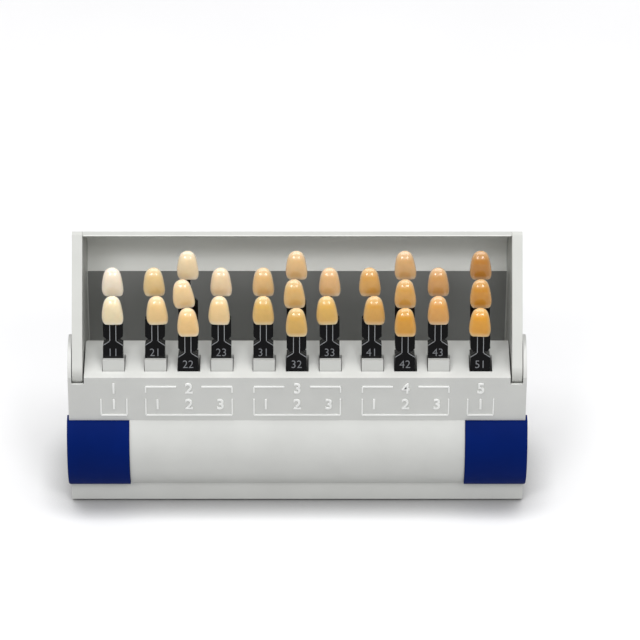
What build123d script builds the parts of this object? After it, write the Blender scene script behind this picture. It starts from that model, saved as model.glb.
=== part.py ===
from build123d import *
from math import cos, radians, sin, sqrt
import os

os.makedirs("parts", exist_ok=True)

# Tabletop shade guide: a moulded base with a sloping row of sockets, eleven
# fans of riveted tabs that each carry one sample tooth, and a hood that swings
# over them. Millimetres, X along the row, Y to the back, Z up from the table.

# Base
base_width = 195.0
deck_depth = 27.2
foot_height = 1.2
wall = 1.8
deck_thickness = 2.0
panel_height = 22.4
bulge_height = 33.4
bulge_depth = 7.0
strip_height = 10.0
strip_setback = 1.2
back_knee = (42.0, -45.0)
back_foot_y = 45.0
rear_corner_radius = 8.0

# Cheeks at both ends, and the slots that the hood's side plates turn in
cheek_thickness = 1.55
ear_height = 9.8
slot_width = 5.35
slot_depth = 7.5
notch_depth = 3.6
notch_wall = 1.4

# Grip pads
pad_reach = 25.8
pad_proud = 0.9
pad_seat = 0.8
pad_wrap = 4.0
pad_clearance = 0.1

# Floor plate, feet and screws
floor_thickness = 2.0
floor_clearance = 0.15
foot_radius = 5.0
foot_x = 74.0
foot_rows = (11.0, 35.0)
boss_radius = 4.2
boss_height = 12.0
boss_x = 88.0
screw_radius = 1.3
screw_length = 10.0
screw_clearance = 0.05
head_radius = 2.6
head_height = 1.3
head_clearance = 0.2

# Hood
pivot = (7.7, -0.4)
pivot_radius = 2.5
pivot_clearance = 0.05
arm_radius = 6.5
hood_wall = 2.0
arm_thickness = 4.4
arm_gap = 0.3
hood_reach = 60.2
lip_setback = 1.5
hood_lean = 54.5
cove_centre = (57.2, 22.45)
cove_radius = 8.75
hood_panel_y = 59.5
hood_foot_z = -34.0
arm_heel_y = 35.0

# Sockets and tabs
tab_lean = 20.0
tab_front_y = 5.0
tab_thickness = 3.5
tab_gap = 0.2
socket_width = 9.7
socket_clearance = 0.3
tab_shift = -0.3
rivet_drop = 2.2
rivet_radius = 1.2
rivet_clearance = 0.05
rivet_head_radius = 2.0
rivet_head_height = 0.9
rivet_head_space = 0.1
end_radius = 4.25
label_top = 6.2
neck_top = 8.0
stem_width = 2.9
plate_width = 8.4
plate_bottom = 8.4
plate_top = 18.5
plate_setback = 0.8
plate_thickness = 1.8
plate_corner = 1.4
short_fan_lift = 4.2
filler_width = 9.2
filler_top = 4.67
rack_end_wall = 1.05
rack_front_gap = 0.1
rack_depth = 17.2
rack_drop = 12.2
rack_chamfer = 3.2

# Teeth
tooth_width = 9.4
tooth_height = 12.8
tooth_edge_thickness = 1.6
tooth_neck_thickness = 4.3
tooth_first = 15.5
tooth_pitch = 11.5
tongue_cover = 6.5

# Where the fans stand along the row, and how many tabs each one has
near_pitch = 14.1
fan_pitch = 17.9
triple_x = 2 * near_pitch + fan_pitch
fans = [
    ("shade_11", -triple_x - near_pitch - fan_pitch, 2),
    ("shade_21", -triple_x - near_pitch, 2),
    ("shade_22", -triple_x, 3),
    ("shade_23", -triple_x + near_pitch, 2),
    ("shade_31", -near_pitch, 2),
    ("shade_32", 0.0, 3),
    ("shade_33", near_pitch, 2),
    ("shade_41", triple_x - near_pitch, 2),
    ("shade_42", triple_x, 3),
    ("shade_43", triple_x + near_pitch, 2),
    ("shade_51", triple_x + near_pitch + fan_pitch, 3),
]

# Worked out from the sizes above
body_height = panel_height + bulge_height + strip_height
deck_z = foot_height + body_height
hood_back = cove_centre[0] + cove_radius + hood_wall
ridge_y = (bulge_depth + pad_proud - hood_back) / 2
half_width = base_width / 2
slot_outer = half_width - cheek_thickness
slot_inner = slot_outer - slot_width
arm_outer = slot_outer - arm_gap
arm_inner = arm_outer - arm_thickness
bulge_mid_z = -panel_height - bulge_height / 2
bulge_radius = (bulge_height**2 / 4 + bulge_depth**2) / (2 * bulge_depth)
bulge_centre_y = bulge_radius - bulge_depth
layer_pitch = tab_thickness + tab_gap
rack_half_length = triple_x + near_pitch + fan_pitch + socket_width / 2 + rack_end_wall
lean_sin, lean_cos = sin(radians(tab_lean)), cos(radians(tab_lean))
side = Plane.YZ.shift_origin((0, ridge_y, deck_z))


def back_y(z):
    """Depth of the sloping back at a height below the deck."""
    knee_y, knee_z = back_knee
    if z > knee_z:
        return deck_depth + (knee_y - deck_depth) * z / knee_z
    return knee_y + (back_foot_y - knee_y) * (z - knee_z) / (-body_height - knee_z)


def bulge_y(grow, z):
    """Front of the bulge, moved out by grow, at a height below the deck."""
    return bulge_centre_y - sqrt((bulge_radius + grow) ** 2 - (z - bulge_mid_z) ** 2)


def body_outline(inset, top):
    """Side outline of the body below a height, with its walls moved in."""
    strip_y = strip_setback + inset
    slope = inset * 1.05
    reach = sqrt((bulge_radius - inset) ** 2 - (bulge_centre_y - inset) ** 2)
    with BuildSketch() as outline:
        with BuildLine():
            Polyline((inset, bulge_mid_z + reach), (inset, top), (back_y(top) - slope, top),
                     (back_knee[0] - slope, back_knee[1]), (back_foot_y - slope, -body_height),
                     (strip_y, -body_height), (strip_y, bulge_mid_z - reach),
                     (inset, bulge_mid_z - reach))
            ThreePointArc((inset, bulge_mid_z - reach), (inset - bulge_depth, bulge_mid_z),
                          (inset, bulge_mid_z + reach))
        make_face()
    return outline.sketch


def pad_outline(outer, back, clearance):
    """Side outline of a pad: the bulge's curve in front, another curve or a line behind."""
    top = -panel_height - clearance
    bottom = -panel_height - bulge_height + clearance
    with BuildSketch() as outline:
        with BuildLine():
            ThreePointArc((bulge_y(outer, bottom), bottom), (-bulge_depth - outer, bulge_mid_z),
                          (bulge_y(outer, top), top))
            if back is None:
                inner = -pad_seat + clearance
                Line((bulge_y(outer, top), top), (bulge_y(inner, top), top))
                ThreePointArc((bulge_y(inner, top), top), (-bulge_depth - inner, bulge_mid_z),
                              (bulge_y(inner, bottom), bottom))
                Line((bulge_y(inner, bottom), bottom), (bulge_y(outer, bottom), bottom))
            else:
                Polyline((bulge_y(outer, top), top), (back, top), (back, bottom),
                         (bulge_y(outer, bottom), bottom))
        make_face()
    return outline.sketch


def along_x(outline, x_from, x_to, mode=Mode.ADD):
    """Extrude a side outline from one place along the row to another."""
    extrude(side.offset(x_from) * outline, amount=x_to - x_from, mode=mode)


def socket_plane(x):
    """Plane across the sockets' axis at deck level: local Y runs through the layers."""
    return Plane(origin=(x, ridge_y + tab_front_y, deck_z), x_dir=(1, 0, 0),
                 z_dir=(0, lean_sin, lean_cos))


def tab_plane(x, layer, lift):
    """Front face of a tab: local Y runs up the tab from the deck."""
    step = layer * layer_pitch
    origin = (x, ridge_y + tab_front_y + step * lean_cos + lift * lean_sin,
              deck_z - step * lean_sin + lift * lean_cos)
    return Plane(origin=origin, x_dir=(1, 0, 0), z_dir=(0, -lean_cos, lean_sin))


# Moulded base: outline, cavity, hood slots, ears, pad seats, screw bosses, sockets
boss_top = floor_thickness + boss_height - body_height
boss_rows = (strip_setback + wall / 2 + boss_radius, back_y(boss_top) - wall / 2 - boss_radius)
boss_places = [(x, y) for x in (-boss_x, boss_x) for y in boss_rows]
stack_depth = 3 * layer_pitch - tab_gap
socket_depth = stack_depth + 2 * socket_clearance
socket_middle = stack_depth / 2


def slot_outline():
    tail = deck_depth + 2 * slot_depth
    with BuildSketch() as outline:
        with BuildLine():
            Polyline((-1, 1), (-1, -notch_depth), (notch_wall, -notch_depth), (notch_wall, -slot_depth),
                     (tail, -slot_depth), (tail, 1), close=True)
        make_face()
    return outline.sketch


def ear_outline():
    with BuildSketch() as outline:
        with BuildLine():
            ThreePointArc((0, 0), (deck_depth / 2, ear_height), (deck_depth, 0))
            Polyline((deck_depth, 0), (back_y(-slot_depth), -slot_depth), (0, -slot_depth), (0, 0))
        make_face()
    return outline.sketch


with BuildPart() as base_shell:
    along_x(body_outline(0, 0), -half_width, half_width)
    rear = [e for e in base_shell.edges().filter_by(Axis.X, reverse=True)
            if e.center().Y > ridge_y + deck_depth and abs(e.center().X) > half_width - 1
            and abs(e.tangent_at(0.5).Z) > 0.9]
    fillet(rear, rear_corner_radius)
    with BuildPart(mode=Mode.PRIVATE) as cavity:
        along_x(body_outline(wall, -slot_depth - wall), wall - half_width, half_width - wall)
        corners = [e for e in cavity.edges().filter_by(Axis.X, reverse=True)
                   if e.center().Y > ridge_y + deck_depth and abs(e.tangent_at(0.5).Z) > 0.9]
        fillet(corners, rear_corner_radius - wall)
        along_x(body_outline(wall, -deck_thickness), wall - slot_inner, slot_inner - wall)
    add(cavity.part, mode=Mode.SUBTRACT)
    for sign in (-1, 1):
        along_x(slot_outline(), sign * slot_inner, sign * slot_outer, Mode.SUBTRACT)
        along_x(ear_outline(), sign * slot_outer, sign * half_width)
        with BuildSketch(side.offset(sign * slot_outer)):
            with Locations(pivot):
                Circle(pivot_radius + pivot_clearance)
        extrude(amount=sign * cheek_thickness, mode=Mode.SUBTRACT)
        along_x(pad_outline(2 * pad_proud, None, 0), sign * (half_width - pad_reach),
                sign * (half_width + 1), Mode.SUBTRACT)
        along_x(pad_outline(2 * pad_proud, pad_wrap, 0), sign * (half_width - pad_seat),
                sign * (half_width + 1), Mode.SUBTRACT)
    with BuildSketch(Plane.XY.offset(foot_height + floor_thickness)):
        with Locations(*[(x, ridge_y + y) for x, y in boss_places]):
            Circle(boss_radius)
    extrude(amount=boss_height)
    with BuildSketch(Plane.XY.offset(foot_height + floor_thickness)):
        with Locations(*[(x, ridge_y + y) for x, y in boss_places]):
            Circle(screw_radius + screw_clearance)
    extrude(amount=screw_length, mode=Mode.SUBTRACT)
    for label, x, count in fans:
        with BuildSketch(socket_plane(x)):
            with Locations((0, socket_middle)):
                Rectangle(socket_width, socket_depth)
        extrude(amount=stack_depth, both=True, mode=Mode.SUBTRACT)
base_shell.part.label = "base_shell"
export_step(base_shell.part, "parts/base_shell.step")


# Floor plate inside the base's lower edge, with countersunk seats for its screws
floor_inset = wall + floor_clearance
floor_front = strip_setback + floor_inset
floor_back = back_y(floor_thickness - body_height) - floor_inset * 1.05
floor_half = half_width - floor_inset
with BuildPart() as base_plate:
    with BuildSketch(Plane.XY.offset(foot_height)):
        with BuildLine():
            Polyline((-floor_half, ridge_y + floor_front), (floor_half, ridge_y + floor_front),
                     (floor_half, ridge_y + floor_back), (-floor_half, ridge_y + floor_back), close=True)
        make_face()
        fillet(vertices().group_by(Axis.Y)[-1], rear_corner_radius)
    extrude(amount=floor_thickness)
    with Locations(*[Pos(x, ridge_y + y, foot_height) * Rot(X=180) for x, y in boss_places]):
        CounterBoreHole(screw_radius + screw_clearance, head_radius + head_clearance,
                        head_height + screw_clearance)
base_plate.part.label = "base_plate"
export_step(base_plate.part, "parts/base_plate.step")

with BuildPart() as rubber_feet:
    with BuildSketch(Plane.XY):
        with Locations(*[(x, ridge_y + y) for x in (-foot_x, foot_x) for y in foot_rows]):
            Circle(foot_radius)
    extrude(amount=foot_height, taper=-10)
rubber_feet.part.label = "rubber_feet"
export_step(rubber_feet.part, "parts/rubber_feet.step")

with BuildPart() as floor_screws:
    screw_spots = [(x, ridge_y + y) for x, y in boss_places]
    with BuildSketch(Plane.XY.offset(foot_height)):
        with Locations(*screw_spots):
            Circle(head_radius)
    extrude(amount=head_height)
    with BuildSketch(Plane.XY.offset(foot_height + head_height)):
        with Locations(*screw_spots):
            Circle(screw_radius)
    extrude(amount=floor_thickness - head_height + screw_length - head_clearance)
    with BuildSketch(Plane.XY.offset(foot_height)):
        with Locations(*screw_spots):
            Rectangle(head_radius, head_radius / 4)
            Rectangle(head_radius / 4, head_radius)
    extrude(amount=head_height / 2, mode=Mode.SUBTRACT)
floor_screws.part.label = "floor_screws"
export_step(floor_screws.part, "parts/floor_screws.step")


# Grip pads: a curved skin on the bulge that wraps onto the end of the base
for name, sign in (("grip_pad_left", -1), ("grip_pad_right", 1)):
    pad_end = half_width + pad_proud
    with BuildPart() as grip_pad:
        along_x(pad_outline(pad_proud, None, pad_clearance),
                sign * (half_width - pad_reach + pad_clearance), sign * pad_end)
        along_x(pad_outline(pad_proud, pad_wrap - pad_clearance, pad_clearance),
                sign * (half_width - pad_seat + pad_clearance), sign * pad_end)
        rim = grip_pad.edges().filter_by(GeomType.CIRCLE).sort_by(Axis.X)
        outer_rim = [e for e in rim if abs(e.center().X) > pad_end - 0.01 and e.radius > bulge_radius]
        chamfer(outer_rim, pad_proud / 2)
    grip_pad.part.label = name
    export_step(grip_pad.part, f"parts/{name}.step")


# Hood: two side plates on pivots, joined by a top wall, a cove and a back panel
lean_y, lean_z = cos(radians(hood_lean)), sin(radians(hood_lean))


def hood_point(reach, depth):
    """Point of the hood from its distance up its front edge and behind that edge."""
    return (lean_y * reach + lean_z * depth, lean_z * reach - lean_y * depth)


def hood_walls(grow):
    """Points of the top wall, the cove and the panel, moved out by grow."""
    radius = cove_radius + grow
    panel_y = hood_panel_y + grow
    cove_top = (cove_centre[0] + radius * lean_y, cove_centre[1] + radius * lean_z)
    cove_back = (cove_centre[0] + radius, cove_centre[1])
    crease = (panel_y, cove_centre[1] - sqrt(radius**2 - (panel_y - cove_centre[0]) ** 2))
    return cove_top, cove_back, crease


def arm_outline():
    cove_top, cove_back, crease = hood_walls(hood_wall)
    tangent = (pivot[0] - arm_radius * lean_z, pivot[1] + arm_radius * lean_y)
    under = (pivot[0], pivot[1] - arm_radius)
    front = (pivot[0] - arm_radius * sin(radians(80)), pivot[1] - arm_radius * cos(radians(80)))
    lip = hood_point(hood_reach + hood_wall, lip_setback)
    edge_top = hood_point(hood_reach + hood_wall - lip_setback, 0)
    with BuildSketch() as outline:
        with BuildLine():
            Polyline(tangent, edge_top, lip, cove_top)
            ThreePointArc(cove_top, cove_back, crease)
            Polyline(crease, (hood_panel_y + hood_wall, hood_foot_z), (hood_panel_y, hood_foot_z),
                     (arm_heel_y, under[1]), under)
            ThreePointArc(under, front, tangent)
        make_face()
    return outline.sketch


def hood_space():
    cove_top, cove_back, crease = hood_walls(0)
    low = 2 * hood_foot_z
    with BuildSketch() as outline:
        with BuildLine():
            Polyline(hood_point(hood_reach, lip_setback), cove_top)
            ThreePointArc(cove_top, cove_back, crease)
            Polyline(crease, (hood_panel_y, low), (low, low), (low, -low),
                     hood_point(2 * hood_reach, lip_setback), hood_point(hood_reach, lip_setback))
        make_face()
    return outline.sketch


with BuildPart() as lid:
    along_x(arm_outline(), -arm_outer, arm_outer)
    along_x(hood_space(), -arm_inner, arm_inner, Mode.SUBTRACT)
    stub_length = slot_outer - arm_outer + cheek_thickness - arm_gap
    for sign in (-1, 1):
        with BuildSketch(side.offset(sign * arm_outer)):
            with Locations(pivot):
                Circle(pivot_radius)
        extrude(amount=sign * stub_length)
lid.part.label = "lid"
export_step(lid.part, "parts/lid.step")


# Socket rack under the deck: leaning wells, and filler blocks for the short fans
def rack_outline():
    front = wall + rack_front_gap
    back = front + rack_depth
    with BuildSketch() as outline:
        with BuildLine():
            Polyline((front, -deck_thickness), (back, -deck_thickness), (back, rack_chamfer - rack_drop),
                     (back - rack_chamfer, -rack_drop), (front, -rack_drop), close=True)
        make_face()
    return outline.sketch


def well_floor(lift):
    return lift - rivet_drop - end_radius - socket_clearance


with BuildPart() as socket_rack:
    along_x(rack_outline(), -rack_half_length, rack_half_length)
    for label, x, count in fans:
        first = (3 - count) * layer_pitch
        lift = short_fan_lift if count == 2 else 0
        near = first - tab_gap if first else -socket_clearance
        with BuildSketch(socket_plane(x).offset(well_floor(lift))):
            with Locations((0, (near + stack_depth + socket_clearance) / 2)):
                Rectangle(socket_width, stack_depth + socket_clearance - near)
        extrude(amount=2 * rack_drop, mode=Mode.SUBTRACT)
    for label, x, count in fans:
        if count == 2:
            with BuildSketch(socket_plane(x).offset(-rivet_drop - deck_thickness)):
                with Locations((0, tab_thickness / 2)):
                    Rectangle(filler_width, tab_thickness)
            extrude(amount=filler_top + rivet_drop + deck_thickness)
socket_rack.part.label = "socket_rack"
export_step(socket_rack.part, "parts/socket_rack.step")


# Tabs: round riveted end, label block, neck, plate and a stem that backs the tooth
def tab_outline(half, top):
    """Round end about the rivet, straight sides and shoulders that narrow to the neck."""
    neck = stem_width / 2
    with BuildSketch() as outline:
        with BuildLine():
            ThreePointArc((-half, -rivet_drop), (0, -rivet_drop - half), (half, -rivet_drop))
            Polyline((half, -rivet_drop), (half, top), (neck, neck_top), (-neck, neck_top),
                     (-half, top), (-half, -rivet_drop))
        make_face()
    return outline.sketch


def make_tab(name, x, layer, count, lift, index):
    place = tab_plane(x + tab_shift, layer, lift)
    tooth_foot = tooth_first + tooth_pitch * index
    top = plate_top + tooth_pitch * (index == 2)
    last = count - 1
    with BuildPart() as tab:
        with BuildSketch(place):
            add(tab_outline(end_radius, label_top))
        extrude(amount=-tab_thickness)
        with BuildSketch(place):
            with Locations((0, (label_top + tooth_foot + tongue_cover) / 2)):
                Rectangle(stem_width, tooth_foot + tongue_cover - label_top)
        extrude(amount=-plate_setback - plate_thickness)
        with BuildSketch(place.offset(-plate_setback)):
            with Locations((0, (plate_bottom + top) / 2)):
                Rectangle(plate_width, top - plate_bottom)
            chamfer(vertices(), plate_corner)
        extrude(amount=-plate_thickness)
        if index == 0:
            with BuildSketch(place.offset(-tab_thickness)):
                with Locations((0, -rivet_drop)):
                    Circle(rivet_radius)
            extrude(amount=-last * layer_pitch + rivet_head_space)
            with BuildSketch(place.offset(-last * layer_pitch - tab_thickness + rivet_head_space)):
                with Locations((0, -rivet_drop)):
                    Circle(rivet_head_radius)
            extrude(amount=rivet_head_height)
        else:
            with BuildSketch(place):
                with Locations((0, -rivet_drop)):
                    Circle(rivet_radius + rivet_clearance)
            extrude(amount=-tab_thickness, mode=Mode.SUBTRACT)
        if index == last:
            with BuildSketch(place.offset(-tab_thickness)):
                with Locations((0, -rivet_drop)):
                    Circle(rivet_head_radius + tab_gap)
            extrude(amount=rivet_head_height + rivet_head_space + tab_gap, mode=Mode.SUBTRACT)
    tab.part.label = name
    export_step(tab.part, f"parts/{name}.step")


# Teeth: a front outline cut to a side profile, with a flat back on the stem
def tooth_front():
    half = tooth_width / 2
    shoulder_left = (-0.36 * tooth_width, 0.76 * tooth_height)
    shoulder_right = (0.35 * tooth_width, 0.76 * tooth_height)
    with BuildSketch() as outline:
        with BuildLine():
            Polyline(shoulder_left, (-half, 0.22 * tooth_height), (-0.43 * tooth_width, 0),
                     (0.42 * tooth_width, 0), (half, 0.26 * tooth_height), shoulder_right)
            ThreePointArc(shoulder_right, (0, tooth_height), shoulder_left)
        make_face()
    return outline.sketch


def tooth_profile():
    edge = (tooth_edge_thickness, 0)
    belly = (0.83 * tooth_neck_thickness, 0.4 * tooth_height)
    crown = (tooth_neck_thickness, 0.72 * tooth_height)
    shoulder = (0.86 * tooth_neck_thickness, 0.93 * tooth_height)
    tip = (0.5 * tooth_neck_thickness, tooth_height)
    with BuildSketch() as outline:
        with BuildLine():
            Line((0, 0), edge)
            ThreePointArc(edge, belly, crown)
            ThreePointArc(crown, shoulder, tip)
            Polyline(tip, (0, 0.8 * tooth_height), (0, 0))
        make_face()
    return outline.sketch


def make_tooth(name, x, layer, lift, index):
    place = tab_plane(x + tab_shift, layer, lift + tooth_first + tooth_pitch * index)
    across = Plane(origin=place.origin, x_dir=place.z_dir, z_dir=(-1, 0, 0))
    with BuildPart() as tooth:
        with BuildSketch(place):
            add(tooth_front())
        extrude(amount=tooth_neck_thickness)
        with BuildSketch(across):
            add(tooth_profile())
        extrude(amount=tooth_width, both=True, mode=Mode.INTERSECT)
    tooth.part.label = name
    export_step(tooth.part, f"parts/{name}.step")


for label, x, count in fans:
    lift = short_fan_lift if count == 2 else 0
    for index in range(count):
        layer = index + 3 - count
        make_tab(f"{label}_tab_{index + 1}", x, layer, count, lift, index)
        make_tooth(f"{label}_tooth_{index + 1}", x, layer, lift, index)
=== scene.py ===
import math

import bmesh
import bpy
from mathutils import Matrix, Vector


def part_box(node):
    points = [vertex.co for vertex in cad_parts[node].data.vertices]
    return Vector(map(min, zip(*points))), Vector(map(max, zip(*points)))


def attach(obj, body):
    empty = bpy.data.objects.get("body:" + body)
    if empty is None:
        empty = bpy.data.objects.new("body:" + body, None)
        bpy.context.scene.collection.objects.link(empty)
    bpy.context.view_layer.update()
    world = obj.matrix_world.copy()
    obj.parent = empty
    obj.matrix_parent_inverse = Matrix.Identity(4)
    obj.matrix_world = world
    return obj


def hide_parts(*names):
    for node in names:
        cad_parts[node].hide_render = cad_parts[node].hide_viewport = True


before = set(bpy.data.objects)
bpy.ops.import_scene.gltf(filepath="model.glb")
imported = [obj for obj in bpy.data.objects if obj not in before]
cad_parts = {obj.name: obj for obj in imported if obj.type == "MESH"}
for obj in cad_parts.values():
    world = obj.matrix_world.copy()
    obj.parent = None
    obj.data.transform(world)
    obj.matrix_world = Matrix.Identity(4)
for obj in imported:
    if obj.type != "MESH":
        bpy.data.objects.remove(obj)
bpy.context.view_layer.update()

# Sizes in metres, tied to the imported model
MM = 0.001
EAR_HEIGHT = 9.8 * MM
BULGE_DEPTH = 7.0 * MM
LEAN = math.radians(20)
TOOTH_WIDTH = 9.4 * MM
TOOTH_HEIGHT = 12.8 * MM
TOOTH_BACK_SHARE = 0.8
TOOTH_FIRST = 15.5 * MM
TOOTH_PITCH = 11.5 * MM

shell_low, shell_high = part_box("base_shell")
RIDGE = Vector((0, shell_low.y + BULGE_DEPTH, shell_high.z - EAR_HEIGHT))
UP_TAB = Vector((0, math.sin(LEAN), math.cos(LEAN)))
TO_VIEWER = Vector((0, -math.cos(LEAN), math.sin(LEAN)))

# Camera: the photograph's angle, with the object's centre line left of the middle
FRAME_PIXELS = 640
FOCAL_PIXELS = 4454
CENTRE_LINE_PIXEL = 297.2
PITCH = math.radians(35.5)
CAMERA_DISTANCE = 1.89
RIDGE_TO_CENTRE = 24.6 * MM

# Tooth shades, light and deep, as they read on screen (0 to 255), fan by fan
SHADES = {
    "shade_11": ((245, 230, 206), (244, 226, 186)),
    "shade_21": ((230, 198, 138), (240, 204, 142)),
    "shade_22": ((238, 214, 172), (240, 200, 136)),
    "shade_23": ((238, 210, 168), (242, 208, 150)),
    "shade_31": ((226, 184, 122), (224, 182, 102)),
    "shade_32": ((226, 186, 130), (218, 174, 92)),
    "shade_33": ((226, 180, 122), (226, 180, 92)),
    "shade_41": ((216, 162, 84), (218, 164, 78)),
    "shade_42": ((216, 170, 112), (216, 154, 52)),
    "shade_43": ((210, 156, 92), (222, 162, 84)),
    "shade_51": ((188, 128, 54), (224, 158, 50)),
}
TRIPLES = ("shade_22", "shade_32", "shade_42", "shade_51")

# How a few teeth were set a little off: sideways shift in millimetres, tilt in degrees
SET_OFF = {
    "shade_22_tooth_2": (-1.3, 6),
    "shade_22_tooth_1": (0.2, 1),
    "shade_21_tooth_1": (1.2, 2),
    "shade_21_tooth_2": (-0.2, 1),
    "shade_23_tooth_1": (-1.0, -2),
    "shade_32_tooth_2": (-0.8, 1),
    "shade_33_tooth_1": (-1.0, 2),
    "shade_41_tooth_1": (0.9, -1),
    "shade_41_tooth_2": (-0.8, 1),
    "shade_51_tooth_1": (-0.5, -2),
    "shade_42_tooth_3": (0.2, 2),
}


def linear(level):
    """Linear value of a screen level from 0 to 255."""
    share = level / 255
    return share / 12.92 if share <= 0.04045 else ((share + 0.055) / 1.055) ** 2.4


def colour(*levels):
    """Material colour from red, green and blue screen levels."""
    return tuple(linear(v) for v in levels) + (1.0,)


# Materials
CLOUD_SCALE = 60
ROUGHNESS_SWING = 0.05
GRAIN_DEPTH = 0.05 * MM


def material(name, roughness, specular=0.5):
    """A new principled material: its nodes, its links and its shader."""
    made = bpy.data.materials.new(name)
    made.use_nodes = True
    nodes, links = made.node_tree.nodes, made.node_tree.links
    shader = nodes["Principled BSDF"]
    shader.inputs["Roughness"].default_value = roughness
    shader.inputs["Specular IOR Level"].default_value = specular
    return made, nodes, links, shader


def add_noise(nodes, links, scale, detail=3):
    """Noise over the object's own coordinates."""
    place = nodes.new("ShaderNodeTexCoord")
    noise = nodes.new("ShaderNodeTexNoise")
    noise.inputs["Scale"].default_value = scale
    noise.inputs["Detail"].default_value = detail
    links.new(place.outputs["Object"], noise.inputs["Vector"])
    return noise


def add_ramp(nodes, links, source, low, high, start=0.3, end=0.7):
    """Two colours, or two grey levels, spread over a noise value."""
    ramp = nodes.new("ShaderNodeValToRGB")
    ramp.color_ramp.elements[0].position = start
    ramp.color_ramp.elements[1].position = end
    ramp.color_ramp.elements[0].color = low
    ramp.color_ramp.elements[1].color = high
    links.new(source, ramp.inputs["Fac"])
    return ramp


def add_bump(nodes, links, shader, source, strength, distance):
    """Relief in the shading, from a noise value."""
    bump = nodes.new("ShaderNodeBump")
    bump.inputs["Strength"].default_value = strength
    bump.inputs["Distance"].default_value = distance
    links.new(source, bump.inputs["Height"])
    links.new(bump.outputs["Normal"], shader.inputs["Normal"])
    return bump


def round_edges(nodes, links, bump, radius):
    """Softens sharp edges in the shading under a bump."""
    bevel = nodes.new("ShaderNodeBevel")
    bevel.samples = 6
    bevel.inputs["Radius"].default_value = radius
    links.new(bevel.outputs["Normal"], bump.inputs["Normal"])


def moulded_plastic(name, tint, roughness, grain=2600, relief=0.06, spread=0.03, edge=0.25 * MM,
                    specular=0.4):
    """Satin plastic with a fine spark-eroded grain and faint cloudy variation."""
    made, nodes, links, shader = material(name, roughness, specular)
    cloud = add_noise(nodes, links, CLOUD_SCALE)
    low = tuple(c * (1 - spread) for c in tint[:3]) + (1.0,)
    high = tuple(min(1.0, c * (1 + spread)) for c in tint[:3]) + (1.0,)
    shade = add_ramp(nodes, links, cloud.outputs["Fac"], low, high)
    links.new(shade.outputs["Color"], shader.inputs["Base Color"])
    fine = add_noise(nodes, links, grain, 2)
    smooth, rough = ((roughness + swing,) * 3 + (1.0,) for swing in (-ROUGHNESS_SWING, ROUGHNESS_SWING))
    gloss = add_ramp(nodes, links, fine.outputs["Fac"], smooth, rough)
    links.new(gloss.outputs["Color"], shader.inputs["Roughness"])
    bump = add_bump(nodes, links, shader, fine.outputs["Fac"], relief, GRAIN_DEPTH)
    round_edges(nodes, links, bump, edge)
    return made


def tooth_ceramic(name, rim_tint, core):
    """Glazed ceramic: warm core, paler translucent rim and cutting edge."""
    made, nodes, links, shader = material(name, 0.12)
    rim = nodes.new("ShaderNodeAttribute")
    rim.attribute_name = "rim"
    body = nodes.new("ShaderNodeMix")
    body.data_type = "RGBA"
    body.inputs["A"].default_value = core
    body.inputs["B"].default_value = rim_tint
    links.new(rim.outputs["Fac"], body.inputs["Factor"])
    cloud = add_noise(nodes, links, 420)
    tone = add_ramp(nodes, links, cloud.outputs["Fac"], (0.94, 0.94, 0.94, 1.0), (1.0, 1.0, 1.0, 1.0))
    blend = nodes.new("ShaderNodeMix")
    blend.data_type = "RGBA"
    blend.blend_type = "MULTIPLY"
    blend.inputs["Factor"].default_value = 1.0
    links.new(body.outputs["Result"], blend.inputs["A"])
    links.new(tone.outputs["Color"], blend.inputs["B"])
    links.new(blend.outputs["Result"], shader.inputs["Base Color"])
    shader.inputs["Subsurface Weight"].default_value = 0.25
    shader.inputs["Subsurface Radius"].default_value = (1.0, 0.6, 0.35)
    shader.inputs["Subsurface Scale"].default_value = 1.2 * MM
    shader.inputs["Coat Weight"].default_value = 0.35
    shader.inputs["Coat Roughness"].default_value = 0.08
    ripple = add_noise(nodes, links, 700)
    add_bump(nodes, links, shader, ripple.outputs["Fac"], 0.02, 0.1 * MM)
    return made


BODY = moulded_plastic("body_grey", colour(209, 210, 207), 0.46)
HOOD = moulded_plastic("hood_grey", colour(201, 202, 198), 0.42)
RACK = moulded_plastic("rack_grey", colour(196, 197, 194), 0.5)
MARK = moulded_plastic("mark_grey", colour(246, 247, 245), 0.4, edge=0.1 * MM)
GRIP = moulded_plastic("grip_blue", colour(1, 28, 98), 0.6, grain=3200, relief=0.12, spread=0.08,
                       specular=0.05)
TAB = moulded_plastic("tab_black", colour(10, 10, 12), 0.2, relief=0.02, spread=0.15, edge=0.18 * MM,
                      specular=0.25)
DIGIT = moulded_plastic("digit_grey", colour(118, 120, 124), 0.35, edge=0.05 * MM)
# Paler grey strips on the tabs' edges: a painted highlight
PAINTED_GLINT = moulded_plastic("painted_glint_grey", colour(150, 152, 155), 0.25, edge=0.05 * MM)
RUBBER = moulded_plastic("foot_rubber", colour(40, 40, 40), 0.8, relief=0.2, spread=0.1)


# The hood's inside, in the object's own space, measured from the ridge of the base
PANEL_Y = 59.5 * MM
PANEL_TOP_Z = 13.9 * MM
PANEL_HALF_X = 90.8 * MM
COVE_CENTRE = Vector((0, 57.2 * MM, 22.45 * MM))
COVE_RADIUS = 8.75 * MM
HOOD_REACH = 60.2 * MM
HOOD_LEAN = math.radians(54.5)
SKIN = 0.6 * MM


def math_node(nodes, links, operation, first, second):
    """Output of a math node on two values, each a number or another node's output."""
    node = nodes.new("ShaderNodeMath")
    node.operation = operation
    for socket, value in zip(node.inputs, (first, second)):
        if isinstance(value, float):
            socket.default_value = value
        else:
            links.new(value, socket)
    return node.outputs["Value"]


def product(nodes, links, values):
    """Output of math nodes that multiply several values."""
    result = values[0]
    for value in values[1:]:
        result = math_node(nodes, links, "MULTIPLY", result, value)
    return result


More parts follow.
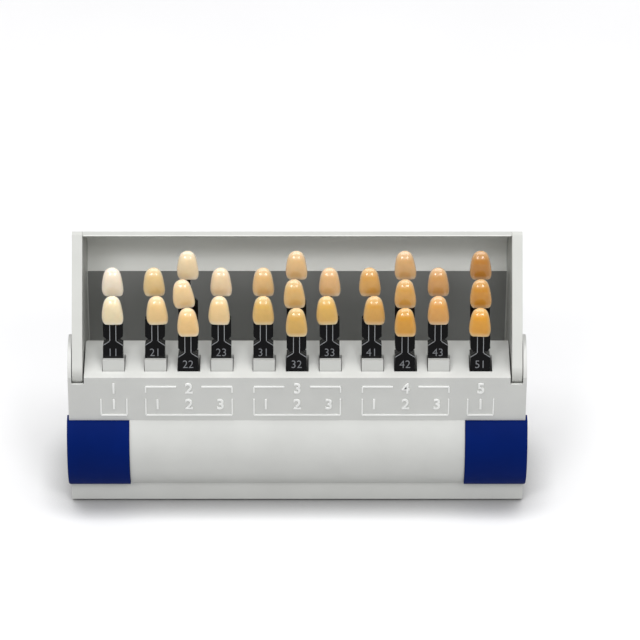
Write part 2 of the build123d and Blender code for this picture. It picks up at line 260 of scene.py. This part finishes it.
def hood_inside(made, panel_painted_shade, cove_painted_light):
    """Hood inside: painted shade darkens the back panel, painted light pales the cove and top wall over
    the crease.
    """
    nodes, links = made.node_tree.nodes, made.node_tree.links
    shader = nodes["Principled BSDF"]

    def vector_node(operation, first, second):
        node = nodes.new("ShaderNodeVectorMath")
        node.operation = operation
        links.new(first, node.inputs[0])
        node.inputs[1].default_value = second
        return node.outputs

    def less(first, second):
        return math_node(nodes, links, "LESS_THAN", first, second)

    place = nodes.new("ShaderNodeTexCoord")
    local = vector_node("SUBTRACT", place.outputs["Object"], RIDGE)["Vector"]
    parts = nodes.new("ShaderNodeSeparateXYZ")
    links.new(local, parts.inputs["Vector"])
    y, z = parts.outputs["Y"], parts.outputs["Z"]
    between = less(math_node(nodes, links, "ABSOLUTE", parts.outputs["X"], 0.0), PANEL_HALF_X)
    reach = vector_node("DOT_PRODUCT", local, (0, math.cos(HOOD_LEAN), math.sin(HOOD_LEAN)))["Value"]
    across = vector_node("MULTIPLY", local, (0, 1, 1))["Vector"]
    radius = vector_node("DISTANCE", across, COVE_CENTRE)["Value"]
    from_panel = math_node(nodes, links, "ABSOLUTE",
                           math_node(nodes, links, "SUBTRACT", y, PANEL_Y), 0.0)
    panel = product(nodes, links, [between, less(from_panel, SKIN), less(z, PANEL_TOP_Z)])
    curved = math_node(nodes, links, "MAXIMUM", less(radius, COVE_RADIUS + SKIN), less(y, COVE_CENTRE.y))
    cove = product(nodes, links, [between, curved, less(reach, HOOD_REACH + SKIN / 2),
                                  less(PANEL_TOP_Z, z)])
    for share, tint in ((panel, panel_painted_shade), (cove, cove_painted_light)):
        mix = nodes.new("ShaderNodeMix")
        mix.data_type = "RGBA"
        mix.inputs["B"].default_value = tint
        links.new(share, mix.inputs["Factor"])
        links.new(shader.inputs["Base Color"].links[0].from_socket, mix.inputs["A"])
        links.new(mix.outputs["Result"], shader.inputs["Base Color"])


def screw_steel():
    """Zinc-plated steel with faint turning marks."""
    made, nodes, links, shader = material("screw_steel", 0.35)
    shader.inputs["Metallic"].default_value = 1.0
    turned = add_noise(nodes, links, 900)
    shade = add_ramp(nodes, links, turned.outputs["Fac"], (0.5, 0.5, 0.5, 1), (0.66, 0.66, 0.65, 1))
    links.new(shade.outputs["Color"], shader.inputs["Base Color"])
    add_bump(nodes, links, shader, turned.outputs["Fac"], 0.1, 0.05 * MM)
    return made


STEEL = screw_steel()
# Darker back panel and paler cove inside the hood: painted shade and painted light
hood_inside(HOOD, colour(140, 141, 139), colour(244, 245, 241))

NODE_MATERIALS = {
    "base_shell": BODY, "base_plate": BODY, "lid": HOOD, "socket_rack": RACK, "grip_pad_left": GRIP,
    "grip_pad_right": GRIP, "rubber_feet": RUBBER, "floor_screws": STEEL,
}
for name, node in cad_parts.items():
    node.data.materials.clear()
    node.data.materials.append(NODE_MATERIALS.get(name, TAB))


# Mesh helpers
def mesh_piece(name, build, made):
    """A mesh object filled by build(bmesh), with its material."""
    data = bpy.data.meshes.new(name)
    form = bmesh.new()
    build(form)
    bmesh.ops.recalc_face_normals(form, faces=form.faces)
    form.to_mesh(data)
    form.free()
    data.materials.append(made)
    piece = bpy.data.objects.new(name, data)
    bpy.context.scene.collection.objects.link(piece)
    return piece


def between_stations(stations, share):
    """Value at a share of the height, straight from one given station to the next."""
    for (low, a), (high, b) in zip(stations, stations[1:]):
        if share <= high:
            return a + (b - a) * (share - low) / (high - low)
    return stations[-1][1]


SMOOTHING = 0.07
SMOOTHING_STEPS = 3


def blended(stations, share):
    """The same, averaged over a short stretch that shrinks to nothing at both ends."""
    reach = SMOOTHING * max(0.0, min(1, 5 * share, 5 * (1 - share)))
    steps = [k / SMOOTHING_STEPS for k in range(-SMOOTHING_STEPS, SMOOTHING_STEPS + 1)]
    return sum(between_stations(stations, share + k * reach) for k in steps) / len(steps)


# Teeth: rings from the cutting edge to the neck, rounder in front than behind. Each side is a share
# of half the width, and the front and back are depths in millimetres, by share of the height.
LEFT_SIDE = ((0, 0.66), (0.03, 0.78), (0.10, 0.89), (0.22, 0.98), (0.42, 0.97), (0.64, 0.885),
             (0.8, 0.78), (0.9, 0.63), (0.96, 0.43), (1, 0.16))
RIGHT_SIDE = ((0, 0.74), (0.03, 0.87), (0.10, 0.95), (0.22, 1.0), (0.42, 0.95), (0.64, 0.84),
              (0.8, 0.73), (0.9, 0.59), (0.96, 0.41), (1, 0.16))
FRONT = ((0, 1.2), (0.05, 1.7), (0.25, 2.9), (0.4, 3.6), (0.55, 4.1), (0.66, 4.25), (0.75, 4.1),
         (0.84, 3.75), (0.92, 3.1), (0.97, 2.5), (1, 1.9))
BACK = ((0, 0.25), (0.05, 0.0), (0.74, 0.0), (0.88, 0.35), (1, 1.5))
RINGS = 36
RING_POINTS = 40
SEAM_SHARE = 0.32
ROUNDNESS = 0.8
EDGE_SHARE = 0.16
NECK_SHARE = 0.7


def tooth_ring(share):
    """Points of one ring: X across, Y towards the viewer, and how near it is to a side."""
    left, right = (blended(side, share) * TOOTH_WIDTH / 2 for side in (LEFT_SIDE, RIGHT_SIDE))
    front, back = (blended(side, share) * MM for side in (FRONT, BACK))
    seam = back + (front - back) * SEAM_SHARE
    points = []
    for i in range(RING_POINTS):
        angle = 2 * math.pi * i / RING_POINTS
        across, depth = math.cos(angle), math.sin(angle)
        reach = right if across > 0 else left
        bulge = front - seam if depth > 0 else seam - back
        x = reach * math.copysign(abs(across) ** ROUNDNESS, across)
        y = seam + bulge * math.copysign(abs(depth) ** ROUNDNESS, depth)
        points.append((x, y, abs(across) ** 2))
    return points


def rim_share(share, side):
    """How pale a point is: full at the cutting edge, less along the sides and the neck."""
    edge = max(0.0, 1 - share / EDGE_SHARE)
    neck = max(0.0, share - NECK_SHARE) / (1 - NECK_SHARE)
    return min(1.0, 0.85 * edge + 0.7 * side ** 3 + 0.55 * neck)


def make_tooth(node, body, made):
    """A rounded tooth in place of its node. Returns the middle of the node's back lower edge."""
    low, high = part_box(node)
    back = high.y - TOOTH_BACK_SHARE * TOOTH_HEIGHT * math.sin(LEAN)
    foot = Vector(((low.x + high.x) / 2, back, low.z))
    shift, tilt = SET_OFF.get(node, (0, 0))
    turn = Matrix.Rotation(math.radians(tilt), 4, TO_VIEWER)
    base = foot + Vector((shift * MM, 0, 0))

    def build(form):
        rim = form.verts.layers.float.new("rim")
        rings = []
        for r in range(RINGS + 1):
            share = 0.5 - 0.5 * math.cos(math.pi * r / RINGS)
            ring = []
            for x, y, side in tooth_ring(share):
                spot = Vector((x, 0, 0)) + TO_VIEWER * y + UP_TAB * (share * TOOTH_HEIGHT)
                vert = form.verts.new(base + turn @ spot)
                vert[rim] = rim_share(share, side)
                ring.append(vert)
            rings.append(ring)
        for lower, upper in zip(rings, rings[1:]):
            for i in range(RING_POINTS):
                j = (i + 1) % RING_POINTS
                form.faces.new((lower[i], lower[j], upper[j], upper[i]))
        form.faces.new(rings[0])
        form.faces.new(rings[-1])
        for face in form.faces:
            face.smooth = True

    piece = mesh_piece(f"{node}_crown", build, made)
    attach(piece, body)
    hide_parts(node)
    return foot


# Numbers and lines
RIGHT = Vector((1, 0, 0))
UP = Vector((0, 0, 1))
CAP_SHARE = 0.7
PANEL_WEIGHT = 0.002
LABEL_WEIGHT = -0.012


def digits(name, text, height, thickness, centre, up, made, body, weight):
    """Raised plain digits, centred on a point of a face. The weight widens or thins their strokes."""
    curve = bpy.data.curves.new(name, "FONT")
    curve.body = text
    curve.size = height / CAP_SHARE
    curve.align_x = "CENTER"
    curve.align_y = "CENTER"
    curve.extrude = thickness / 2
    curve.bevel_depth = thickness / 8
    curve.offset = height * weight
    curve.resolution_u = 4
    holder = bpy.data.objects.new(name, curve)
    data = bpy.data.meshes.new_from_object(holder)
    data.name = name
    bpy.data.objects.remove(holder)
    place = Matrix((RIGHT, up, RIGHT.cross(up))).transposed().to_4x4()
    place.translation = centre
    data.transform(place)
    data.materials.clear()
    data.materials.append(made)
    piece = bpy.data.objects.new(name, data)
    bpy.context.scene.collection.objects.link(piece)
    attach(piece, body)


# Marks on the front panel, by height from the ridge
MARK_LINE = 0.6 * MM
MARK_RELIEF = 0.55 * MM
DIGIT_HEIGHT = 5.1 * MM
ROW_Z = (-5.6 * MM, -13.9 * MM)
TOP_LINE_Z = -4.8 * MM
TICK_FOOT_Z = -7.4 * MM
FRAME_TOP_Z = -11.0 * MM
FRAME_FOOT_Z = -19.1 * MM
NUMBER_GAP = 5.4 * MM
SINGLE_HALF = 5.5 * MM
GROUP_HALF = 18.4 * MM
PLACE_PITCH = 13.4 * MM
BOX_FACES = ((0, 1, 3, 2), (4, 6, 7, 5), (0, 4, 5, 1), (2, 3, 7, 6), (1, 5, 7, 3), (0, 2, 6, 4))


def line_box(form, low_x, high_x, low_z, high_z):
    """A raised bar on the front panel."""
    corners = [Vector((x, y, z)) for y in (0.0, -MARK_RELIEF) for x in (low_x, high_x)
               for z in (low_z, high_z)]
    verts = [form.verts.new(Vector((0, RIDGE.y, RIDGE.z)) + corner) for corner in corners]
    for face in BOX_FACES:
        form.faces.new([verts[i] for i in face])


def panel_frame(name, centre_x, half, with_top):
    """The lines round one group of numbers."""
    half_line = MARK_LINE / 2

    def build(form):
        for side in (-1, 1):
            x = centre_x + side * half
            line_box(form, x - half_line, x + half_line, FRAME_FOOT_Z, FRAME_TOP_Z)
            if with_top:
                line_box(form, x - half_line, x + half_line, TICK_FOOT_Z, TOP_LINE_Z)
                inner = centre_x + side * NUMBER_GAP
                line_box(form, min(x, inner), max(x, inner), TOP_LINE_Z, TOP_LINE_Z + MARK_LINE)
        line_box(form, centre_x - half, centre_x + half, FRAME_FOOT_Z - MARK_LINE, FRAME_FOOT_Z)

    piece = mesh_piece(name, build, MARK)
    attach(piece, "base")


def panel_digit(name, text, x, z):
    spot = Vector((x, RIDGE.y - MARK_RELIEF / 2, RIDGE.z + z))
    digits(name, text, DIGIT_HEIGHT, MARK_RELIEF, spot, UP, MARK, "base", PANEL_WEIGHT)


TRIPLE_X = 46.1 * MM
END_X = 78.1 * MM
for number, x in enumerate((-END_X, -TRIPLE_X, 0.0, TRIPLE_X, END_X), start=1):
    single = abs(x) == END_X
    panel_digit(f"panel_number_{number}", str(number), x, ROW_Z[0])
    panel_frame(f"panel_frame_{number}", x, SINGLE_HALF if single else GROUP_HALF, not single)
    steps = (0,) if single else (-1, 0, 1)
    for place, step in enumerate(steps, start=1):
        panel_digit(f"panel_place_{number}_{place}", str(place), x + step * PLACE_PITCH, ROW_Z[1])

# Painted highlights on a tab: pale strips along its bright moulded edges, on two shoulders and the two
# sides of its stem
PAINTED_GLINT_WIDTH = 0.3 * MM
PAINTED_GLINT_RELIEF = 0.06 * MM
TAB_HALF = 4.25 * MM
SHOULDER_Z = 6.2 * MM
NECK_Z = 8.0 * MM
STEM_HALF = 1.45 * MM


def tab_trim(name, origin, stem_top, body):
    """Thin raised strips in a paler grey on a tab's front face, a painted highlight, from points in that
    face.
    """
    runs = [((side * TAB_HALF, SHOULDER_Z), (side * STEM_HALF, NECK_Z)) for side in (-1, 1)]
    runs += [((side * STEM_HALF, NECK_Z), (side * STEM_HALF, stem_top)) for side in (-1, 1)]

    def build(form):
        for (x1, z1), (x2, z2) in runs:
            inward = -math.copysign(PAINTED_GLINT_WIDTH, x1)
            slant = abs(x2 - x1) > PAINTED_GLINT_WIDTH
            dx, dz = (0, -PAINTED_GLINT_WIDTH) if slant else (inward, 0)
            corners = [(x1, z1), (x2, z2), (x2 + dx, z2 + dz), (x1 + dx, z1 + dz)]
            back, front = ([form.verts.new(origin + Vector((x, 0, 0)) + UP_TAB * z + TO_VIEWER * out)
                            for x, z in corners] for out in (0.0, PAINTED_GLINT_RELIEF))
            form.faces.new(back)
            form.faces.new(front)
            for i in range(4):
                j = (i + 1) % 4
                form.faces.new((back[i], back[j], front[j], front[i]))

    piece = mesh_piece(name, build, PAINTED_GLINT)
    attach(piece, body)


# Teeth and tab numbers, fan by fan
LABEL_HEIGHT = 3.4 * MM
LABEL_CENTRE = 2.8 * MM
LABEL_RELIEF = 0.08 * MM
RIM_LEVEL = 246
for fan, (light, deep) in SHADES.items():
    count = 3 if fan in TRIPLES else 2
    for index in range(count):
        depth = 1 - index / (count - 1)
        core = [a + (b - a) * depth for a, b in zip(light, deep)]
        pale = [(c + RIM_LEVEL) / 2 for c in core]
        body = f"{fan}_front" if index == 0 else f"{fan}_rear_{index}"
        ceramic = tooth_ceramic(f"{fan}_ceramic_{index + 1}", colour(*pale), colour(*core))
        foot = make_tooth(f"{fan}_tooth_{index + 1}", body, ceramic)
        label = foot - UP_TAB * (TOOTH_FIRST + TOOTH_PITCH * index - LABEL_CENTRE)
        digits(f"{fan}_digits_{index + 1}", fan[-2:], LABEL_HEIGHT, LABEL_RELIEF,
               label + TO_VIEWER * LABEL_RELIEF / 2, UP_TAB, DIGIT, body, LABEL_WEIGHT)
        # Pale strips on the tab's edges, a painted highlight
        tab_trim(f"{fan}_painted_glint_{index + 1}", label - UP_TAB * LABEL_CENTRE,
                 TOOTH_FIRST + TOOTH_PITCH * index, body)

# Floor: pale to the camera, with a contact shadow, and duller in the light it throws back
FLOOR_HALF = 3.0
FLOOR_BOUNCE = 0.55
CONTACT_REACH = 16 * MM
CONTACT_TONE = 0.15
bpy.ops.mesh.primitive_plane_add(size=2 * FLOOR_HALF)
floor = bpy.context.object
floor.name = "floor"
floor_look, floor_nodes, floor_links, floor_shader = material("floor_pale", 0.8, 0.2)
mottle = add_noise(floor_nodes, floor_links, 8)
floor_tone = add_ramp(floor_nodes, floor_links, mottle.outputs["Fac"], colour(244, 244, 245),
                      colour(247, 247, 248))
seen = floor_nodes.new("ShaderNodeLightPath")
toned = floor_nodes.new("ShaderNodeMix")
toned.data_type = "RGBA"
toned.inputs["A"].default_value = (FLOOR_BOUNCE,) * 3 + (1.0,)
floor_links.new(seen.outputs["Is Camera Ray"], toned.inputs["Factor"])
contact = floor_nodes.new("ShaderNodeAmbientOcclusion")
contact.samples = 8
contact.inputs["Distance"].default_value = CONTACT_REACH
shaded = floor_nodes.new("ShaderNodeMix")
shaded.data_type = "RGBA"
shaded.inputs["A"].default_value = (CONTACT_TONE,) * 3 + (1.0,)
floor_links.new(contact.outputs["AO"], shaded.inputs["Factor"])
floor_links.new(floor_tone.outputs["Color"], shaded.inputs["B"])
floor_links.new(shaded.outputs["Result"], toned.inputs["B"])
floor_links.new(toned.outputs["Result"], floor_shader.inputs["Base Color"])
floor.data.materials.append(floor_look)


# Light: two wide soft boxes, overhead and in front, two smaller ones that glint on the teeth, and a
# pale room. Each has its name, place, target, size and power.
LAMPS = (
    ("overhead", (0, 0.1, 1.6), (0, 0, 0.06), (1.8, 0.9), 18),
    ("front", (0, -1.3, 1.25), (0, 0, 0.08), (1.8, 0.6), 4),
    ("glint_left", (-0.36, -0.8, 1.0), (0, 0, 0.1), (0.32, 0.32), 3.0),
    ("glint_right", (0.36, -0.8, 1.0), (0, 0, 0.1), (0.32, 0.32), 3.0),
)
ROOM_STRENGTH = 0.35


def soft_box(name, spot, target, size, power):
    lamp = bpy.data.lights.new(name, "AREA")
    lamp.shape = "RECTANGLE"
    lamp.size, lamp.size_y = size
    lamp.energy = power
    holder = bpy.data.objects.new(name, lamp)
    holder.location = spot
    holder.rotation_euler = (Vector(target) - Vector(spot)).to_track_quat("-Z", "Y").to_euler()
    bpy.context.scene.collection.objects.link(holder)


for lamp_values in LAMPS:
    soft_box(*lamp_values)
world = bpy.data.worlds.new("room")
bpy.context.scene.world = world
world.use_nodes = True
room = world.node_tree.nodes["Background"]
room.inputs["Color"].default_value = (1.0, 1.0, 1.0, 1.0)
room.inputs["Strength"].default_value = ROOM_STRENGTH

# Camera
eye = bpy.data.cameras.new("camera")
eye.sensor_width = 36
eye.lens = eye.sensor_width * FOCAL_PIXELS / FRAME_PIXELS
eye.shift_x = (FRAME_PIXELS / 2 - CENTRE_LINE_PIXEL) / FRAME_PIXELS
eye.clip_end = 20
camera = bpy.data.objects.new("camera", eye)
sight = Vector((0, math.cos(PITCH), -math.sin(PITCH)))
image_up = Vector((0, math.sin(PITCH), math.cos(PITCH)))
camera.location = RIDGE + image_up * RIDGE_TO_CENTRE - sight * CAMERA_DISTANCE
camera.rotation_euler = (math.radians(90) - PITCH, 0, 0)
bpy.context.scene.collection.objects.link(camera)
bpy.context.scene.camera = camera
bpy.context.scene.view_settings.view_transform = "Standard"
